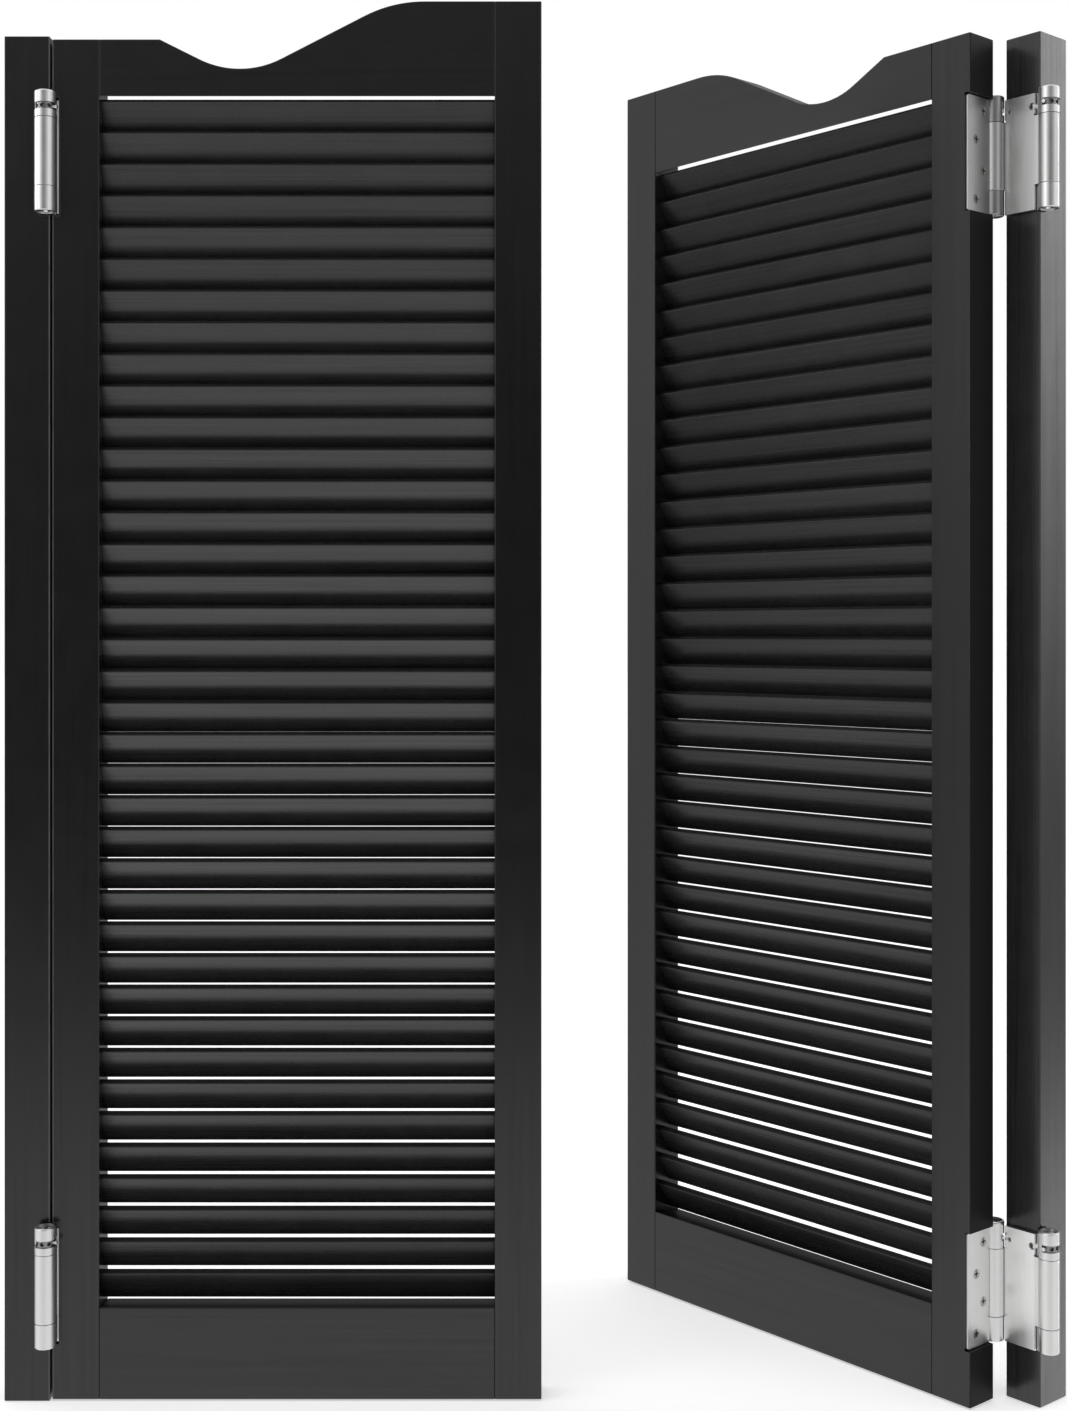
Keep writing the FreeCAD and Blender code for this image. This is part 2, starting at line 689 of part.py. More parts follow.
def web(name, s, hz):
    """The middle plate, with a centre tube on each barrel."""
    fx, by = D("front_x"), D("barrel_y")
    lo, hi = hz + D("plate_lo"), hz + D("plate_hi")
    t0, t1 = hz + D("tube_lo"), hz + D("tube_hi")
    plate = box("web_plate", s, web_x0, web_x1, -by, by, lo, hi)
    tubes = []
    for x, y in ((fx, -by), (back_x, by)):
        c = cyl("centre_tube", s, x, y, t0, t1, D("barrel_r"))
        tubes.append(round_edges("tube_ends", c, lambda e: e.Curve.TypeId ==
                                 "Part::GeomCircle", 0.35))
    tools = []
    for x, y, sign in ((fx, -by, 1), (back_x, by, -1)):
        tools.append(cyl("tube_bore", s, x, y, t0 - 1, t1 + 1, D("tube_bore")))
        # slots beside the end knuckles
        clear = D("barrel_r") + 0.5
        for z0, z1 in ((lo - 1, t0), (t1, hi + 1)):
            if sign > 0:
                tools.append(box("slot", s, web_x0 - 9, web_x1 + 9,
                                 y - 12, y + clear, z0, z1))
            else:
                tools.append(box("slot", s, web_x0 - 9, web_x1 + 9,
                                 y - clear, y + 12, z0, z1))
        # a hole level with the window (on the front barrel it opens into the
        # slot), and a small relief at the slot's foot
        tools.append(rod("pin_hole", s, web_x0 - 2,
                         y + (clear + (2.7 if sign > 0 else 4.6)) * sign,
                         hz + 36.2, (1, 0), D("web_t") + 4,
                         3.0 if sign > 0 else 1.9))
        tools.append(rod("slot_relief", s, web_x0 - 2, y + clear * sign,
                         t1 + 0.9, (1, 0), D("web_t") + 4, 0.9))
    return cut(name, fuse("web_blank", [plate] + tubes), tools)


def spindle(s, x, y, hz):
    """The fixed pin of a barrel, with its pressed foot in the lower knuckle."""
    r = D("spindle_r")
    shank = cyl("spindle", s, x, y, hz - half_barrel + 3.0, hz + 40.0, r)
    foot = cyl("spindle_foot", s, x, y, hz - half_barrel + 0.8,
               hz + D("tube_lo") - D("knuckle_gap") - 0.6, D("knuckle_bore"))
    dimple = cone("foot_dimple", s, x, y, hz - half_barrel, hz - half_barrel + 2.4,
                  4.2, 1.6)
    return cut("spindle_done", fuse("spindle_blank", [shank, foot]), [dimple])


def bushes(s, x, y, hz):
    out = []
    for z0, z1 in ((hz + D("tube_lo"), hz + D("tube_lo") + 4.0),
                   (hz + D("tube_hi") - 4.0, hz + D("tube_hi"))):
        outer = cyl("bush", s, x, y, z0, z1, D("tube_bore"))
        inner = cyl("bush_bore", s, x, y, z0 - 1, z1 + 1, D("spindle_r") + D("fit"))
        out.append(cut("bush_done", outer, [inner]))
    return out


def ring(name, s, x, y, hz, out):
    """The adjusting ring: round holes for the bar and pin, a slotted top."""
    z0 = hz + D("tube_hi") + D("knuckle_gap") + 0.5
    z1 = hz + D("ring_top")
    blank = cyl("ring", s, x, y, z0, z1, D("knuckle_bore") - D("fit"))
    blank = round_edges("ring_rim", blank, lambda e: e.Curve.TypeId ==
                        "Part::GeomCircle" and e.BoundBox.ZMin > z1.value - 1e-6, 0.8)
    zc = hz + (D("window_lo") + D("window_hi")) / 2
    tools = [cyl("ring_bore", s, x, y, z0 - 1, hz + 41.0, D("spindle_r") + D("fit"))]
    for k in range(8):
        a = math.radians(PIN_ANGLE + 45.0 * k)
        d = (math.sin(a), -math.cos(a) * 1.0)
        d = (d[0], d[1]) if out < 0 else (-d[0], -d[1])
        tools.append(rod("bar_hole", s, x + 4.9 * d[0], y + 4.9 * d[1], zc,
                         d, 6.0, D("ring_hole")))
    tools.append(box("driver_slot", s, x - 1.1, x + 1.1, y - 9, y + 9,
                     z1 - 1.8, z1 + 1))
    tools.append(cyl("driver_pit", s, x, y, z1 - 2.6, z1 + 1, 2.6))
    return cut(name, blank, tools)


# the pin lies against the end of its window, nearly square to the front
PIN_ANGLE = 83.5


def pin(name, s, x, y, hz, out):
    """The tension pin, in the ring and against the end of the window."""
    zc = hz + (D("window_lo") + D("window_hi")) / 2
    a = math.radians(PIN_ANGLE)
    d = (math.sin(a), -math.cos(a))
    if out > 0:
        d = (-d[0], -d[1])
    # the back one, near the web when the door is open, is the shorter
    p = rod(name, s, x + 4.95 * d[0], y + 4.95 * d[1], zc, d,
            5.6 if out < 0 else 4.4, D("pin_r"))
    return round_edges(name + "_end", p, lambda e: e.Curve.TypeId ==
                       "Part::GeomCircle", 0.35)


def spring_shape(s, x, y, hz):
    """A close torsion coil around the spindle, inside the centre tube."""
    z0, z1 = hz + V["tube_lo"] + 5.3, hz + V["tube_hi"] - 5.3
    turns = int((z1 - z0) / V["spring_pitch"])
    height = turns * V["spring_pitch"]
    helix = Part.makeHelix(V["spring_pitch"], height, V["spring_r"])
    prof = Part.Wire(Part.makeCircle(V["spring_wire"],
                                     Vector(V["spring_r"], 0, 0), Vector(0, 1, 0)))
    coil = Part.Wire(helix).makePipeShell([prof], True, True)
    coil.translate(Vector(s * x, y, (z0 + z1) / 2 - height / 2))
    return coil


def hinge_parts(side, s):
    post_body, web_body, leaf_body = side + "_post", side + "_web", side + "_leaf"
    fx, by = D("front_x"), D("barrel_y")
    for level, hz in LEVELS:
        node(fixed_leaf("%s_%s_jamb" % (side, level), s, hz, "jamb"),
             "%s_%s_jamb_leaf" % (side, level), post_body)
        node(web("%s_%s_web_cut" % (side, level), s, hz),
             "%s_%s_web" % (side, level), web_body)
        node(fixed_leaf("%s_%s_door" % (side, level), s, hz, "door"),
             "%s_%s_door_leaf" % (side, level), leaf_body)
    node(group(side + "_front_spindle_pair", [spindle(s, fx, -by, hz) for _, hz in LEVELS]),
         side + "_front_spindles", post_body)
    node(group(side + "_back_spindle_pair", [spindle(s, back_x, by, hz) for _, hz in LEVELS]),
         side + "_back_spindles", leaf_body)
    ring_bushes = []
    for _, hz in LEVELS:
        ring_bushes += bushes(s, fx, -by, hz) + bushes(s, back_x, by, hz)
    node(group(side + "_bush_set", ring_bushes), side + "_spindle_bushes", web_body)
    for nm, x, y in (("front", fx.value, -by.value), ("back", back_x.value, by.value)):
        f = new("Part::Feature", "%s_%s_coils" % (side, nm))
        f.Shape = Part.makeCompound([spring_shape(s, x, y, hz.value) for _, hz in LEVELS])
        node(f, "%s_%s_springs" % (side, nm), web_body)
    for nm, x, y, out in (("front", fx, -by, -1), ("back", back_x, by, 1)):
        for level, hz in LEVELS:
            holder = "%s_%s_%s_adjuster" % (side, level, nm)
            node(ring(holder + "_cut", s, x, y, hz, out),
                 "%s_%s_%s_ring" % (side, level, nm), holder)
            node(pin(holder + "_pin", s, x, y, hz, out),
                 "%s_%s_%s_pin" % (side, level, nm), holder)
    for nm, body in (("jamb", post_body), ("door", leaf_body)):
        f = new("Part::Feature", "%s_%s_screw_set" % (side, nm))
        f.Shape = Part.makeCompound(screw_shapes(s, nm))
        node(f, "%s_%s_screws" % (side, nm), body)


for unit, sign in (("left", 1), ("right", -1)):
    wood_parts(unit, sign)
    hinge_parts(unit, sign)
doc.recompute()


# ------------------------------------------------- where the units stand
def spin(x, y, degrees):
    about = Vector(x, y, 0)
    r = Rotation(Vector(0, 0, 1), degrees)
    return Placement(about - r.multVec(about), r)


def stand(body):
    """The left unit is in line. The right one is turned, its door open."""
    if body.startswith("left"):
        return Placement()
    across = Placement(Vector(V["opening_w"], 0, 0), Rotation())
    turned = spin(V["turn_x"], V["turn_y"], V["turn"])
    rides_door = body == "right_leaf" or body.endswith("back_adjuster")
    if rides_door:
        opened = spin(V["opening_w"] - back_x.value, V["barrel_y"], -V["held_open"])
        return turned.multiply(opened).multiply(across)
    return turned.multiply(across)


for obj, label, body in NODES:
    obj.Placement = stand(body)
doc.recompute()

# --------------------------------------------------------- check and write
bad = [o.Name for o in doc.Objects if "Invalid" in o.State or "Error" in o.State]
if bad:
    sys.exit("failed objects: " + ", ".join(bad))
for obj, label, body in NODES:
    if obj.Shape.isNull() or not obj.Shape.isValid() or not obj.Shape.Solids:
        sys.exit("bad shape: " + label)
    if any(so.Volume <= 0 for so in obj.Shape.Solids):
        sys.exit("inside-out solid: " + label)
if len(NODES) > 60 or len({label for _, label, _ in NODES}) != len(NODES):
    sys.exit("too many nodes, or two with one name")

os.makedirs("parts", exist_ok=True)
for obj, label, body in NODES:
    obj.Shape.exportStep(os.path.join("parts", label + ".step"))
    bb = obj.Shape.BoundBox
    print("%-28s %2d solids %10.0f mm3  x %.1f..%.1f y %.1f..%.1f z %.1f..%.1f  [%s]" % (
        label, len(obj.Shape.Solids), obj.Shape.Volume, bb.XMin, bb.XMax,
        bb.YMin, bb.YMax, bb.ZMin, bb.ZMax, body))
print(len(NODES), "nodes")
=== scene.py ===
import math

import bpy
from mathutils import Matrix, Vector


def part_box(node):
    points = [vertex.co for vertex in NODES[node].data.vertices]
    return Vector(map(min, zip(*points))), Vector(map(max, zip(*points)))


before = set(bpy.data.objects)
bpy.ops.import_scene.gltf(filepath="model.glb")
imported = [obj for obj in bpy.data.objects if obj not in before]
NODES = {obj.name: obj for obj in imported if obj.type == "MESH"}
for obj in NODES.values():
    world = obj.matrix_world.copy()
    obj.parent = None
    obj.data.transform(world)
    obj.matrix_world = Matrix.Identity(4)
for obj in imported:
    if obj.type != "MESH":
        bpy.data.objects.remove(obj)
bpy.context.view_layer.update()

# The pair of louvred cafe doors in a plain studio. Metres, row frame: x across the opening,
# fronts towards -y, z up from the middle of the posts.

SCENE = bpy.context.scene
TURN = math.radians(40.9)            # how far the right unit stands turned
OPEN = math.radians(90.0)            # how far its door stands open
PIVOT = Vector((0.89404, -0.02855, 0.0))     # about which the right unit is turned
BACK_PIN = Vector((0.8684, 0.0243, 0.0))     # its back barrel when the unit is in line
FLOOR_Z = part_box("left_post")[0].z - 0.0004


# ---------------------------------------------------------------- node helpers

class Net:
    """A node tree with short calls for adding and joining nodes."""

    def __init__(self, tree):
        self.tree = tree
        tree.nodes.clear()

    def add(self, kind, ins=None, **props):
        n = self.tree.nodes.new(kind)
        for k, v in props.items():
            setattr(n, k, v)
        for k, v in (ins or {}).items():
            self.set(n.inputs[k], v)
        return n

    def set(self, socket, v):
        if isinstance(v, bpy.types.NodeSocket):
            self.tree.links.new(v, socket)
        else:
            socket.default_value = v

    def math(self, op, a, b=None, c=None, clamp=False):
        n = self.tree.nodes.new("ShaderNodeMath")
        n.operation = op
        n.use_clamp = clamp
        for i, v in enumerate((a, b, c)):
            if v is not None:
                self.set(n.inputs[i], v)
        return n.outputs[0]

    def vec(self, op, a, b=None):
        n = self.tree.nodes.new("ShaderNodeVectorMath")
        n.operation = op
        self.set(n.inputs[0], a)
        if b is not None:
            self.set(n.inputs[1], b)
        return n.outputs[0]

    def span(self, v, a, b, c=0.0, d=1.0, smooth=True):
        """v from a..b mapped onto c..d."""
        n = self.tree.nodes.new("ShaderNodeMapRange")
        n.interpolation_type = "SMOOTHSTEP" if smooth else "LINEAR"
        for i, x in enumerate((v, a, b, c, d)):
            self.set(n.inputs[i], x)
        return n.outputs[0]

    def mix(self, f, a, b):
        n = self.tree.nodes.new("ShaderNodeMix")
        n.data_type = "FLOAT"
        self.set(n.inputs[0], f)
        self.set(n.inputs[2], a)
        self.set(n.inputs[3], b)
        return n.outputs[0]

    def mix_colour(self, f, a, b, blend="MIX"):
        n = self.tree.nodes.new("ShaderNodeMix")
        n.data_type = "RGBA"
        n.blend_type = blend
        self.set(n.inputs[0], f)
        self.set(n.inputs[6], a)
        self.set(n.inputs[7], b)
        return n.outputs[2]

    def noise(self, co, scale, detail=3.0, rough=0.5, w=None, distortion=0.0):
        n = self.tree.nodes.new("ShaderNodeTexNoise")
        n.noise_dimensions = "3D" if w is None else "4D"
        self.set(n.inputs["Vector"], co)
        if w is not None:
            self.set(n.inputs["W"], w)
        self.set(n.inputs["Scale"], scale)
        self.set(n.inputs["Detail"], detail)
        self.set(n.inputs["Roughness"], rough)
        self.set(n.inputs["Distortion"], distortion)
        return n.outputs[0]

    def open_air(self, distance):
        """1 on a free surface, towards 0 deep in a corner, joint or recess."""
        return self.add("ShaderNodeAmbientOcclusion", {"Distance": distance}, samples=6).outputs["AO"]

    def ramp(self, v, stops):
        """A curve through (position, value) pairs, as a grey ramp."""
        n = self.tree.nodes.new("ShaderNodeValToRGB")
        e = n.color_ramp.elements
        while len(e) > 1:
            e.remove(e[-1])
        first = True
        for p, val in stops:
            if first:
                s = e[0]
                s.position = p
                first = False
            else:
                s = e.new(p)
            s.color = (val, val, val, 1.0)
        self.set(n.inputs[0], v)
        return n.outputs[0]


def material(name):
    m = bpy.data.materials.new(name)
    m.use_nodes = True
    net = Net(m.node_tree)
    out = net.add("ShaderNodeOutputMaterial")
    bsdf = net.add("ShaderNodeBsdfPrincipled")
    net.tree.links.new(bsdf.outputs[0], out.inputs[0])
    return m, net, bsdf


def scaled(net, co, x, y, z):
    return net.add("ShaderNodeMapping", {"Vector": co, "Scale": (x, y, z)}, vector_type="POINT").outputs[0]


def board_space(net, where):
    """Object coordinates, brought back to the closed pair in line, so that grain follows each board."""
    co = net.add("ShaderNodeTexCoord").outputs["Object"]
    if where == "left":
        return co
    move = Matrix.Translation(PIVOT) @ Matrix.Rotation(-TURN, 4, "Z") @ Matrix.Translation(-PIVOT)
    turn = -TURN
    if where == "right_leaf":
        move = Matrix.Translation(BACK_PIN) @ Matrix.Rotation(OPEN, 4, "Z") @ Matrix.Translation(-BACK_PIN) @ move
        turn += OPEN
    t = move.to_translation()
    return net.add("ShaderNodeMapping", {"Vector": co, "Location": (t.x, t.y, t.z), "Rotation": (0.0, 0.0, turn)},
                   vector_type="POINT").outputs[0]


# ---------------------------------------------------------------- black lacquered wood

SLAT_TOP, SLAT_PITCH, SLAT_TILT = 0.5163, 0.02694, math.radians(31.0)


def black_wood(name, where, along, seed, box=None, slats=False, painted_light_gain=1.0, matt_edge=None, painted_shade_reach=0.0045, seam=None, gloss=1.0):
    """Satin black lacquer over fine straight grain. along is the board's length, x or z.
    matt_edge = (x of the face, side it looks to): the edge that meets the post, sealed but not flatted and polished.
    reach: how far from a joint or a rebate the painted shade makes the lacquer dull and dark. seam: x of the edge
    beside the post's seam that carries a painted highlight.
    gloss: how strongly the lacquer mirrors, against the left door's."""
    m, net, bsdf = material(name)
    co = board_space(net, where)
    w = float(seed)
    parts = net.add("ShaderNodeSeparateXYZ", {"Vector": co})
    if slats:
        # one number for each slat, from its height along its own tilt
        f = net.math("ADD", parts.outputs[2], net.math("MULTIPLY", parts.outputs[1], 1 / math.tan(SLAT_TILT)))
        k = net.math("ROUND", net.math("DIVIDE", net.math("SUBTRACT", f, SLAT_TOP), SLAT_PITCH))
        w = net.math("ADD", net.math("MULTIPLY", k, 3.731), float(seed))
        own = net.add("ShaderNodeTexWhiteNoise", {"W": w}, noise_dimensions="1D").outputs[0]
    long, across = (5.0, 330.0)
    s = (long, across, across) if along == "x" else (across, across, long)
    grain = net.noise(scaled(net, co, *s), 1.0, 4.0, 0.62, w, 0.25)
    s = (18.0, 1500.0, 1500.0) if along == "x" else (1500.0, 1500.0, 18.0)
    fibre = net.noise(scaled(net, co, *s), 1.0, 2.0, 0.5, w)
    s = (2.2, 26.0, 26.0) if along == "x" else (26.0, 26.0, 2.2)
    wave = net.noise(scaled(net, co, *s), 1.0, 2.0, 0.5, w)
    cloud = net.noise(co, 34.0, 3.0, 0.55, w)
    peel = net.noise(co, 620.0, 2.0, 0.5, w)

    # open pores: the darkest troughs of the grain
    pore = net.span(grain, 0.36, 0.50)
    tone = net.mix(pore, 0.62, 1.0)
    tone = net.math("MULTIPLY", tone, net.span(cloud, 0.25, 0.75, 0.86, 1.14, False))
    if slats:
        tone = net.math("MULTIPLY", tone, net.span(own, 0.0, 1.0, 0.84, 1.16, False))
    # painted light: this gain makes lighter copies of the same lacquer for the slats and the right post
    base = net.mix_colour(net.span(fibre, 0.3, 0.7, 0.0, 1.0, False), (0.0056 * painted_light_gain, 0.0056 * painted_light_gain, 0.0058 * painted_light_gain, 1), (0.0070 * painted_light_gain, 0.0069 * painted_light_gain, 0.0069 * painted_light_gain, 1))
    grey = net.add("ShaderNodeCombineColor", {"Red": tone, "Green": tone, "Blue": tone}).outputs[0]
    colour = net.mix_colour(1.0, base, grey, "MULTIPLY")
    rough = net.math("ADD", net.span(grain, 0.3, 0.7, 0.235, 0.185, False), net.span(cloud, 0.25, 0.75, -0.015, 0.025, False))
    if slats:
        rough = net.math("ADD", rough, 0.06)
    # the grain telegraphs through the gloss, in streaks along the board
    streak = net.noise(scaled(net, co, *((3.0, 420.0, 420.0) if along == "x" else (420.0, 420.0, 3.0))), 1.0, 3.0, 0.6, w)
    shine = net.span(streak, 0.3, 0.7, 0.43 if slats else 0.465, 0.56 if slats else 0.53, False)
    if gloss != 1.0:
        shine = net.math("MULTIPLY", shine, gloss)
    # faces that look up were laid flat to dry and hold dust
    upward = net.math("ABSOLUTE", net.add("ShaderNodeSeparateXYZ", {"Vector": net.add("ShaderNodeNewGeometry").outputs["True Normal"]}).outputs[2])
    upward = net.math("MULTIPLY", net.span(upward, 0.90, 0.97), 0.8)
    rough = net.mix(upward, rough, 0.5)
    shine = net.mix(upward, shine, 0.08)
    if matt_edge:
        face, out = matt_edge
        away = net.math("MULTIPLY", net.math("SUBTRACT", face, parts.outputs[0]), float(out))
        matt = net.span(away, 0.0007, 0.0002)
        rough = net.mix(matt, rough, 0.42)
        shine = net.mix(matt, shine, 0.08)
        colour = net.mix_colour(matt, colour, (0.0105, 0.0105, 0.0105, 1))
    # painted shade: joints, rebates and the lines round the hinges are painted dull and dark, by nearness of other
    # surfaces
    free = net.open_air(painted_shade_reach)
    shine = net.math("MULTIPLY", shine, net.span(free, 0.30, 0.85, 0.12, 1.0))
    colour = net.mix_colour(net.span(free, 0.75, 0.20, 0.0, 0.6), colour, (0.0016, 0.0016, 0.0016, 1))

    if box:
        # a touch of rub along the arrises, on which the lacquer is thin
        (x0, y0, z0), (x1, y1, z1) = box
        near = []
        for i, (a, b) in enumerate(((x0, x1), (y0, y1), (z0, z1))):
            mid, half = (a + b) / 2, (b - a) / 2
            near.append(net.math("SUBTRACT", half, net.math("ABSOLUTE", net.math("SUBTRACT", parts.outputs[i], mid))))
        lo = net.math("MINIMUM", near[0], near[1])
        hi = net.math("MAXIMUM", near[0], near[1])
        second = net.math("MAXIMUM", lo, net.math("MINIMUM", hi, near[2]))
        edge = net.span(second, 0.0016, 0.0003)
        rub = net.math("MULTIPLY", edge, net.span(net.noise(co, 60.0, 4.0, 0.7, w), 0.50, 0.72))
        colour = net.mix_colour(net.math("MULTIPLY", rub, 0.55), colour, (0.030, 0.029, 0.028, 1))
        if seam:
            # painted highlight: a pale line along the arris beside the seam, as light caught on the edge
            by = net.math("ABSOLUTE", net.math("SUBTRACT", parts.outputs[0], seam))
            seam_painted_highlight = net.math("MULTIPLY", net.span(by, 0.0013, 0.0006), net.span(parts.outputs[1], y0 + 0.0016, y0 + 0.0007))
            seam_painted_highlight = net.math("MULTIPLY", seam_painted_highlight, net.span(net.noise(co, 45.0, 4.0, 0.7, w), 0.2, 0.6, 0.45, 1.0))
            colour = net.mix_colour(seam_painted_highlight, colour, (0.085, 0.084, 0.082, 1))
        rough = net.math("SUBTRACT", rough, net.math("MULTIPLY", rub, 0.06))

    h = net.math("MULTIPLY", grain, 0.000030)
    h = net.math("ADD", h, net.math("MULTIPLY", fibre, 0.000005))
    h = net.math("ADD", h, net.math("MULTIPLY", wave, 0.000150))
    h = net.math("ADD", h, net.math("MULTIPLY", peel, 0.0000022))
    bump = net.add("ShaderNodeBump", {"Height": h, "Strength": 1.0, "Distance": 1.0})
    net.set(bsdf.inputs["Base Color"], colour)
    net.set(bsdf.inputs["Roughness"], rough)
    net.set(bsdf.inputs["Normal"], bump.outputs[0])
    net.set(bsdf.inputs["Specular IOR Level"], shine)
    bsdf.inputs["IOR"].default_value = 1.55
    return m


# ---------------------------------------------------------------- metals and small materials

def brushed(name, where, along, colour, rough, seed, lines=1400.0, depth=0.0000022, spread=0.05, painted_plate_tone=1.0, painted_glare=None):
    """Satin stainless: hairlines along one direction, a faint cloudiness, and painted shade in recesses and where it
    meets other parts.
    flat: painted light and shade, as the tone of the plate between the barrels. fade: a painted glare, its tone at the
    free edge and beside the barrel."""
    m, net, bsdf = material(name)
    co = board_space(net, where)
    w = float(seed)
    s = {"x": (30.0, lines, lines), "z": (lines, lines, 30.0), "round": (60.0, 60.0, lines)}[along]
    hair = net.noise(scaled(net, co, *s), 1.0, 3.0, 0.6, w)
    s = {"x": (8.0, 260.0, 260.0), "z": (260.0, 260.0, 8.0), "round": (20.0, 20.0, 420.0)}[along]
    band = net.noise(scaled(net, co, *s), 1.0, 2.0, 0.5, w)
    cloud = net.noise(co, 90.0, 3.0, 0.6, w)
    tone = net.math("ADD", net.span(hair, 0.3, 0.7, 0.955, 1.03, False), net.span(cloud, 0.3, 0.7, -0.02, 0.02, False))
    # painted shade: recesses and the places where the metal meets other parts are darkened
    tone = net.math("MULTIPLY", tone, net.span(net.open_air(0.0026), 0.15, 0.72, 0.10, 1.0))
    if painted_plate_tone != 1.0 or painted_glare:
        depth_in = net.add("ShaderNodeSeparateXYZ", {"Vector": co}).outputs[1]
        if painted_glare:
            tone = net.math("MULTIPLY", tone, net.span(depth_in, -0.0135, 0.0125, painted_glare[0], painted_glare[1]))
        if painted_plate_tone != 1.0:
            tone = net.math("MULTIPLY", tone, net.mix(net.span(net.math("ABSOLUTE", depth_in), 0.0155, 0.0140), 1.0, painted_plate_tone))
    grey = net.add("ShaderNodeCombineColor", {"Red": tone, "Green": tone, "Blue": tone}).outputs[0]
    net.set(bsdf.inputs["Base Color"], net.mix_colour(1.0, (*colour, 1), grey, "MULTIPLY"))
    r = net.math("ADD", net.span(hair, 0.3, 0.7, rough - spread / 2, rough + spread / 2, False),
                 net.span(cloud, 0.3, 0.7, -0.02, 0.03, False))
    net.set(bsdf.inputs["Roughness"], r)
    h = net.math("ADD", net.math("MULTIPLY", hair, depth), net.math("MULTIPLY", band, depth * 1.6))
    net.set(bsdf.inputs["Normal"], net.add("ShaderNodeBump", {"Height": h, "Strength": 1.0, "Distance": 1.0}).outputs[0])
    bsdf.inputs["Metallic"].default_value = 1.0
    return m


def spring_steel(name):
    """Oiled dark spring wire."""
    m, net, bsdf = material(name)
    co = net.add("ShaderNodeTexCoord").outputs["Object"]
    n = net.noise(co, 700.0, 3.0, 0.6)
    net.set(bsdf.inputs["Base Color"], net.mix_colour(net.span(n, 0.3, 0.7, 0.0, 1.0, False), (0.16, 0.16, 0.175, 1), (0.26, 0.25, 0.25, 1)))
    net.set(bsdf.inputs["Roughness"], net.span(n, 0.3, 0.7, 0.24, 0.42, False))
    bsdf.inputs["Metallic"].default_value = 1.0
    return m


def nylon(name):
    """Natural nylon of the bushes."""
    m, net, bsdf = material(name)
    co = net.add("ShaderNodeTexCoord").outputs["Object"]
    n = net.noise(co, 500.0, 3.0, 0.6)
    net.set(bsdf.inputs["Base Color"], net.mix_colour(net.span(n, 0.3, 0.7, 0.0, 1.0, False), (0.50, 0.49, 0.44, 1), (0.60, 0.585, 0.53, 1)))
    net.set(bsdf.inputs["Roughness"], net.span(n, 0.3, 0.7, 0.42, 0.56, False))
    return m


def beech(name):
    """Bare beech of the dowels."""
    m, net, bsdf = material(name)
    co = net.add("ShaderNodeTexCoord").outputs["Object"]
    n = net.noise(scaled(net, co, 20.0, 700.0, 700.0), 1.0, 4.0, 0.6)
    net.set(bsdf.inputs["Base Color"], net.mix_colour(net.span(n, 0.3, 0.7, 0.0, 1.0, False), (0.38, 0.22, 0.11, 1), (0.52, 0.34, 0.18, 1)))
    net.set(bsdf.inputs["Roughness"], net.span(n, 0.3, 0.7, 0.5, 0.65, False))
    return m


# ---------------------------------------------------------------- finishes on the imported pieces

def finish(node, m):
    o = NODES[node]
    for i in range(len(o.material_slots)):
        o.material_slots[i].material = m


STEEL = (0.83, 0.83, 0.825)
TURNED = (0.74, 0.74, 0.735)
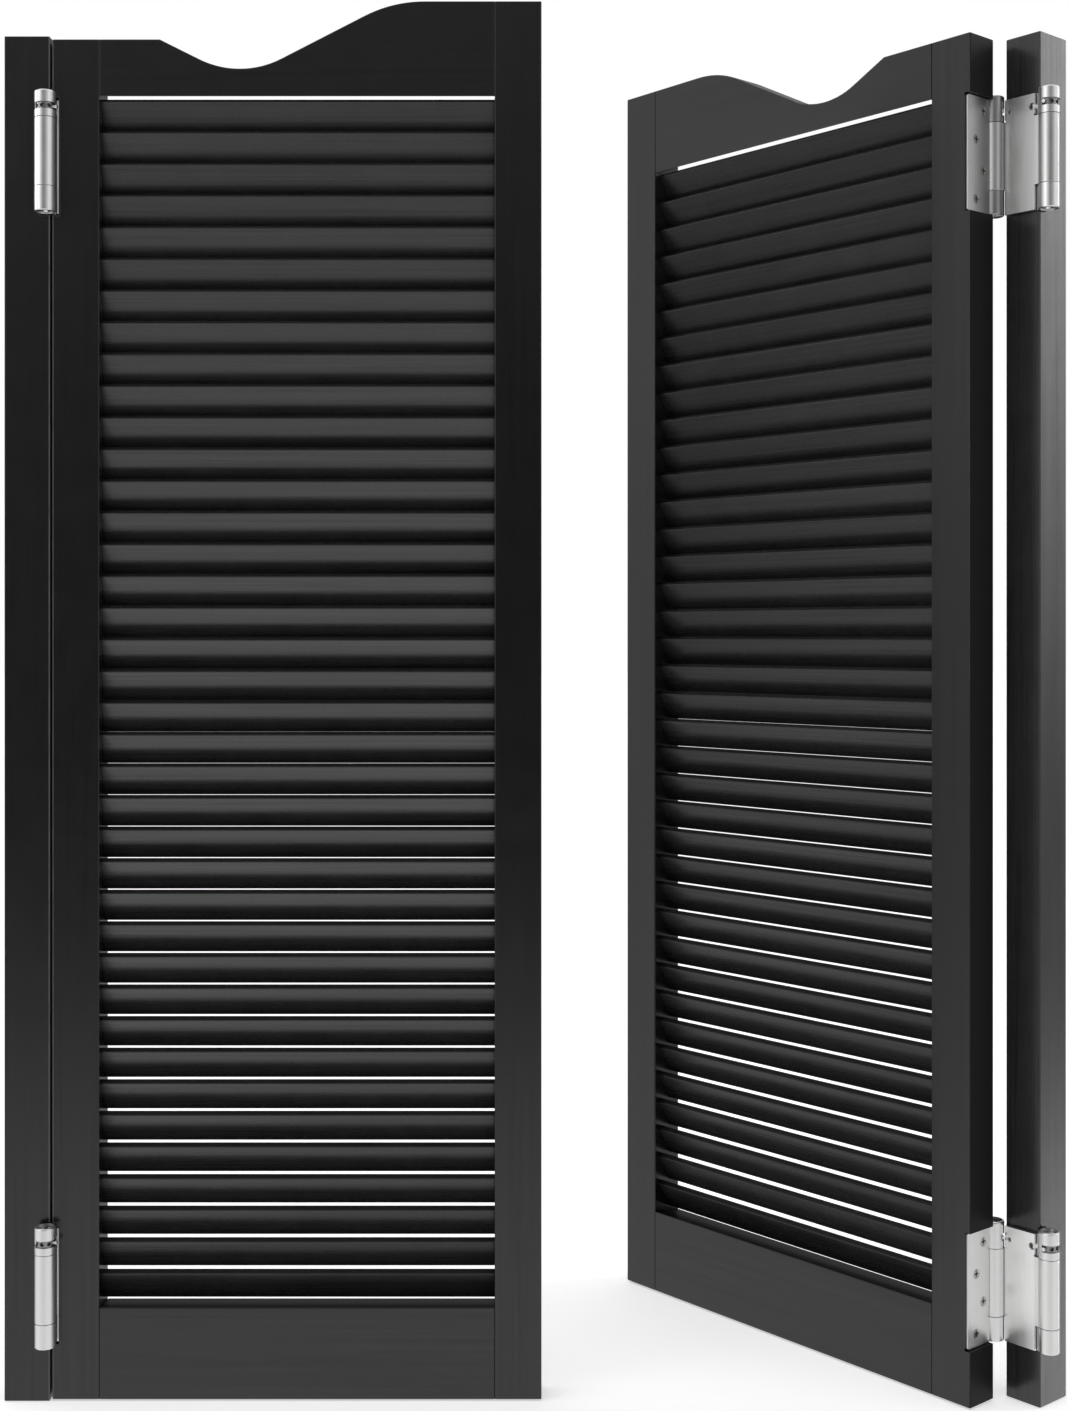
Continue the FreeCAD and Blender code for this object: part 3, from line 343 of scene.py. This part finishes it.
# the right-hand hinges: painted light and shade as tones of the tubes and of the web's plate, and a painted glare
# across the door leaf's plate
HINGE_PAINTED_LIGHT = {("right", "upper"): (0.86, 0.92, (1.36, 0.60)), ("right", "lower"): (1.0, 1.17, (1.08, 1.0))}
RING = (0.30, 0.30, 0.30)
LEFT_BOX = {
    "post": ((0.0, -0.0169, -0.57765), (0.0385, 0.0169, 0.57765)),
    "hinge_stile": ((0.0405, -0.0164, -0.5764), (0.0802, 0.0164, 0.5752)),
    "meeting_stile": ((0.4150, -0.0164, -0.5764), (0.4547, 0.0164, 0.6075)),
    "bottom_rail": ((0.0802, -0.0164, -0.5764), (0.4150, 0.0164, -0.4986)),
}
seed = 0.0
for side in ("left", "right"):
    leaf = "left" if side == "left" else "right_leaf"
    post = "left" if side == "left" else "right_post"
    for piece, along in (("post", "z"), ("hinge_stile", "z"), ("meeting_stile", "z"), ("top_rail", "x"),
                         ("bottom_rail", "x"), ("louvre_slats", "x")):
        seed += 11.3
        box = LEFT_BOX.get(piece)
        if box and side == "right":
            box = ((0.9144 - box[1][0], box[0][1], box[0][2]), (0.9144 - box[0][0], box[1][1], box[1][2]))
        slats = piece == "louvre_slats"
        # painted light: the slats and the right post get lighter copies of the same lacquer, standing in for light they
        # lack
        painted_light_gain = {"left_louvre_slats": 2.2, "right_louvre_slats": 2.6, "right_post": 3.0}.get(f"{side}_{piece}", 1.0)
        # how far the painted shade reaches: short on the posts, the hinge stiles and the right slats
        painted_shade_reach = 0.0016 if piece in ("post", "hinge_stile") or (side == "right" and slats) else 0.0045
        edge = None
        if piece == "hinge_stile":
            edge = (0.0405, -1) if side == "left" else (0.8739, 1)
        gloss = 0.75 if f"{side}_{piece}" == "right_louvre_slats" else 1.0
        # the left seam's arris gets a painted highlight
        seam = {"post": 0.0385, "hinge_stile": 0.0405}.get(piece) if side == "left" else None
        finish(f"{side}_{piece}", black_wood(f"lacquer_{side}_{piece}", post if piece == "post" else leaf, along, seed,
                                             box, slats, painted_light_gain, edge, painted_shade_reach, seam, gloss))
    finish(f"{side}_rail_dowels", beech(f"beech_{side}"))
    for level in ("upper", "lower"):
        seed += 5.7
        finish(f"{side}_{level}_jamb_leaf", brushed(f"steel_{side}_{level}_jamb", post, "z", STEEL, 0.33, seed))
        painted_tube_tone, painted_plate_tone, painted_glare = HINGE_PAINTED_LIGHT.get((side, level), (1.0, 1.0, None))
        finish(f"{side}_{level}_web", brushed(f"steel_{side}_{level}_web", post, "z", [c * painted_tube_tone for c in STEEL], 0.33, seed + 1.1, painted_plate_tone=painted_plate_tone))
        finish(f"{side}_{level}_door_leaf", brushed(f"steel_{side}_{level}_door", leaf, "z", [c * painted_tube_tone for c in STEEL], 0.33, seed + 2.3, painted_glare=painted_glare))
        for f in ("front", "back"):
            finish(f"{side}_{level}_{f}_ring", brushed(f"turned_{side}_{level}_{f}_ring", post, "round", RING, 0.30, seed + 3.1, 2600.0))
            finish(f"{side}_{level}_{f}_pin", brushed(f"turned_{side}_{level}_{f}_pin", post, "x", TURNED, 0.2, seed + 4.1, 2600.0))
    for f in ("front", "back"):
        finish(f"{side}_{f}_spindles", brushed(f"turned_{side}_{f}_spindles", post, "round", TURNED, 0.24, seed + 6.1, 2400.0))
        finish(f"{side}_{f}_springs", spring_steel(f"spring_{side}_{f}"))
    finish(f"{side}_spindle_bushes", nylon(f"nylon_{side}"))
    for s in ("jamb", "door"):
        finish(f"{side}_{s}_screws", brushed(f"screw_{side}_{s}", post if s == "jamb" else leaf, "x", (0.56, 0.56, 0.55), 0.27, seed + 8.1, 2000.0))


# ---------------------------------------------------------------- studio

def studio_world():
    """Soft light all round: white sides and floor, and the dark of the room where the camera stands."""
    world = bpy.data.worlds.new("studio")
    SCENE.world = world
    world.use_nodes = True
    net = Net(world.node_tree)
    out = net.add("ShaderNodeOutputWorld")
    d = net.add("ShaderNodeSeparateXYZ", {"Vector": net.add("ShaderNodeTexCoord").outputs["Generated"]})
    x, y, z = d.outputs[0], d.outputs[1], d.outputs[2]
    e = net.math("MULTIPLY", net.math("ARCSINE", z), 180 / math.pi)                     # height above the horizon
    az = net.math("MULTIPLY", net.math("ARCTAN2", x, net.math("MULTIPLY", y, -1.0)), 180 / math.pi)  # 0 at the camera, + to the right
    up = net.math("DIVIDE", net.math("ADD", e, 90.0), 180.0)

    def at(deg):
        return (deg + 90.0) / 180.0

    def curve(*stops):
        return net.math("MULTIPLY", net.ramp(up, [(at(deg), val / 6.0) for deg, val in stops]), 6.0)

    floor_light = ((-90, 0.5), (-80, 0.55), (-77, 0.75), (-74, 1.1), (-70, 1.45), (-65, 1.66), (-60, 1.47), (-55, 1.18))
    front = curve(*floor_light, (-50, 0.86), (-46.5, 0.38), (-42, 0.42), (-35, 0.7), (-25, 1.0), (-20, 1.08), (-17, 1.0), (-15, 0.92),
                  (-13.5, 0.78), (-12, 0.48), (-10.7, 0.22), (-8, 0.05), (-4, 0.04), (5, 0.06), (10, 0.1), (14, 0.18), (18, 0.26),
                  (26, 0.32), (40, 0.5), (90, 0.7))
    sides = curve(*floor_light, (-48, 0.9), (-30, 0.88), (-20, 0.94), (-16, 0.88), (-8, 0.8), (1, 0.8), (10, 0.8), (17, 0.82), (30, 0.8),
                  (45, 0.7), (90, 0.7))
    back = curve((-90, 0.5), (-30, 0.45), (-10, 0.35), (0, 0.28), (22, 0.28), (35, 0.5), (60, 0.75), (90, 0.7))
    off = net.math("ABSOLUTE", net.math("ADD", az, 3.0))
    # a shade darker between the left wall and the left soft box, level with the lens
    dip = net.math("MULTIPLY", net.span(az, -93.0, -85.0), net.math("MULTIPLY", net.span(e, -14.0, -9.0), net.span(e, 8.0, 1.0)))
    sides = net.math("SUBTRACT", sides, net.math("MULTIPLY", dip, 0.28))
    level = net.mix(net.span(off, 10.0, 29.0), front, sides)
    rear = net.mix(net.span(az, -1.0, 1.0), net.span(az, -103.0, -116.0), net.span(az, 104.0, 114.0))
    low_left = net.math("MULTIPLY", net.span(az, -134.0, -124.0), net.span(az, -102.0, -116.0))
    back = net.math("ADD", net.math("MULTIPLY", back, 0.9), net.math("MULTIPLY", low_left, net.math("MULTIPLY", net.span(e, -26.0, -36.0), 0.4)))
    level = net.mix(rear, level, back)
    # the dark of the room behind the open door, seen in the lit faces of its upper slats
    beyond = curve((-90, 0.5), (-52, 0.6), (-46, 1.0), (-43, 0.96), (-39, 0.5), (-36, 0.22), (-33, 0.08), (-28, 0.1), (90, 0.1))
    level = net.mix(net.math("MULTIPLY", net.span(az, -95.5, -99.5), net.math("MULTIPLY", net.span(az, -140.0, -134.0), net.span(e, -24.0, -29.0))), level, beyond)
    above = net.span(e, -12.0, 0.0)
    # large soft boxes, left and right of the camera
    left_box = net.math("MULTIPLY", net.math("MULTIPLY", net.span(az, -68.0, -62.0), net.span(az, -43.0, -50.0)), net.math("MULTIPLY", above, net.span(e, 50.0, 30.0)))
    right_box = net.math("MULTIPLY", net.math("MULTIPLY", net.span(az, 22.0, 30.0), net.span(az, 64.0, 52.0)), net.math("MULTIPLY", above, net.span(e, 50.0, 30.0)))
    level = net.math("ADD", level, net.math("MULTIPLY", left_box, 1.0))
    level = net.math("ADD", level, net.math("MULTIPLY", right_box, 0.55))
    # a dark screen between the lens and the right soft box
    screen = net.math("MULTIPLY", net.math("MULTIPLY", net.span(az, 10.0, 20.0), net.span(az, 58.0, 42.0)), net.span(e, -8.0, 6.0))
    level = net.math("MULTIPLY", level, net.span(screen, 0.0, 1.0, 1.0, 0.42, False))
    # a dark edge, then a tall strip light on the right
    notch = net.math("MULTIPLY", net.math("MULTIPLY", net.span(az, 86.0, 89.0), net.span(az, 106.0, 104.0)), net.span(e, -32.0, -25.0))
    level = net.mix(notch, level, 0.1)
    strip = net.math("MULTIPLY", net.math("MULTIPLY", net.span(az, 95.2, 96.4), net.span(az, 105.0, 102.5)), net.span(e, -50.0, -36.0))
    profile = curve((-90, 0.5), (-50, 1.2), (-30, 2.9), (-20.5, 3.2), (-16.3, 3.1), (-13.5, 1.35), (-10.7, 0.62), (-5, 0.6), (1, 1.6), (7, 3.1),
                    (12, 4.6), (17, 5.9), (30, 5.9), (50, 2.0), (70, 0.8), (90, 0.8))
    level = net.mix(strip, level, profile)
    seen = net.add("ShaderNodeLightPath").outputs["Is Camera Ray"]
    light = net.add("ShaderNodeBackground", {"Color": (1, 1, 1, 1), "Strength": level})
    pale = net.add("ShaderNodeBackground", {"Color": (1.0, 1.0, 1.0, 1), "Strength": 1.0})
    mix = net.add("ShaderNodeMixShader", {0: seen, 1: light.outputs[0], 2: pale.outputs[0]})
    net.tree.links.new(mix.outputs[0], out.inputs[0])


def floor():
    s = 30.0
    mesh = bpy.data.meshes.new("studio_floor")
    mesh.from_pydata([(-s, -s, FLOOR_Z), (s, -s, FLOOR_Z), (s, s, FLOOR_Z), (-s, s, FLOOR_Z)], [], [(0, 1, 2, 3)])
    o = bpy.data.objects.new("studio_floor", mesh)
    SCENE.collection.objects.link(o)
    m, net, bsdf = material("pale_floor")
    co = net.add("ShaderNodeTexCoord").outputs["Object"]
    n = net.noise(co, 3.0, 3.0, 0.5)
    net.set(bsdf.inputs["Base Color"], net.mix_colour(n, (0.90, 0.90, 0.90, 1), (0.93, 0.93, 0.93, 1)))
    bsdf.inputs["Roughness"].default_value = 0.9
    bsdf.inputs["Emission Color"].default_value = (1.0, 1.0, 1.0, 1.0)
    bsdf.inputs["Emission Strength"].default_value = 0.5
    bsdf.inputs["Specular IOR Level"].default_value = 0.1
    mesh.materials.append(m)
    o.visible_glossy = False
    return o


def soft_box(name, at, target, width, height, watts):
    light = bpy.data.lights.new(name, "AREA")
    light.shape = "RECTANGLE"
    light.size, light.size_y = width, height
    light.energy = watts
    o = bpy.data.objects.new(name, light)
    SCENE.collection.objects.link(o)
    o.location = at
    o.rotation_euler = (Vector(target) - Vector(at)).to_track_quat("-Z", "Y").to_euler()
    o.visible_camera = False
    return o


studio_world()
floor()
soft_box("overhead", (0.45, 0.4, 2.9), (0.45, 0.4, 0.0), 4.0, 3.0, 22.0)
soft_box("left_card", (-0.5, 0.045, 0.54), (0.03, -0.03, 0.48), 0.10, 0.36, 0.6)

# ---------------------------------------------------------------- camera

cam = bpy.data.cameras.new("camera")
cam.lens = 47.74
cam.sensor_width = 36.0
cam.sensor_fit = "AUTO"
cam.shift_y = -0.0505
cam.clip_start, cam.clip_end = 0.02, 200.0
camera = bpy.data.objects.new("camera", cam)
camera.location = (0.44875, -1.6005, 0.0714)
camera.rotation_euler = (math.radians(90.0), 0.0, 0.0)
SCENE.collection.objects.link(camera)
SCENE.camera = camera

SCENE.view_settings.view_transform = "Standard"
SCENE.view_settings.look = "None"
SCENE.view_settings.exposure = 0.0
SCENE.view_settings.gamma = 1.0
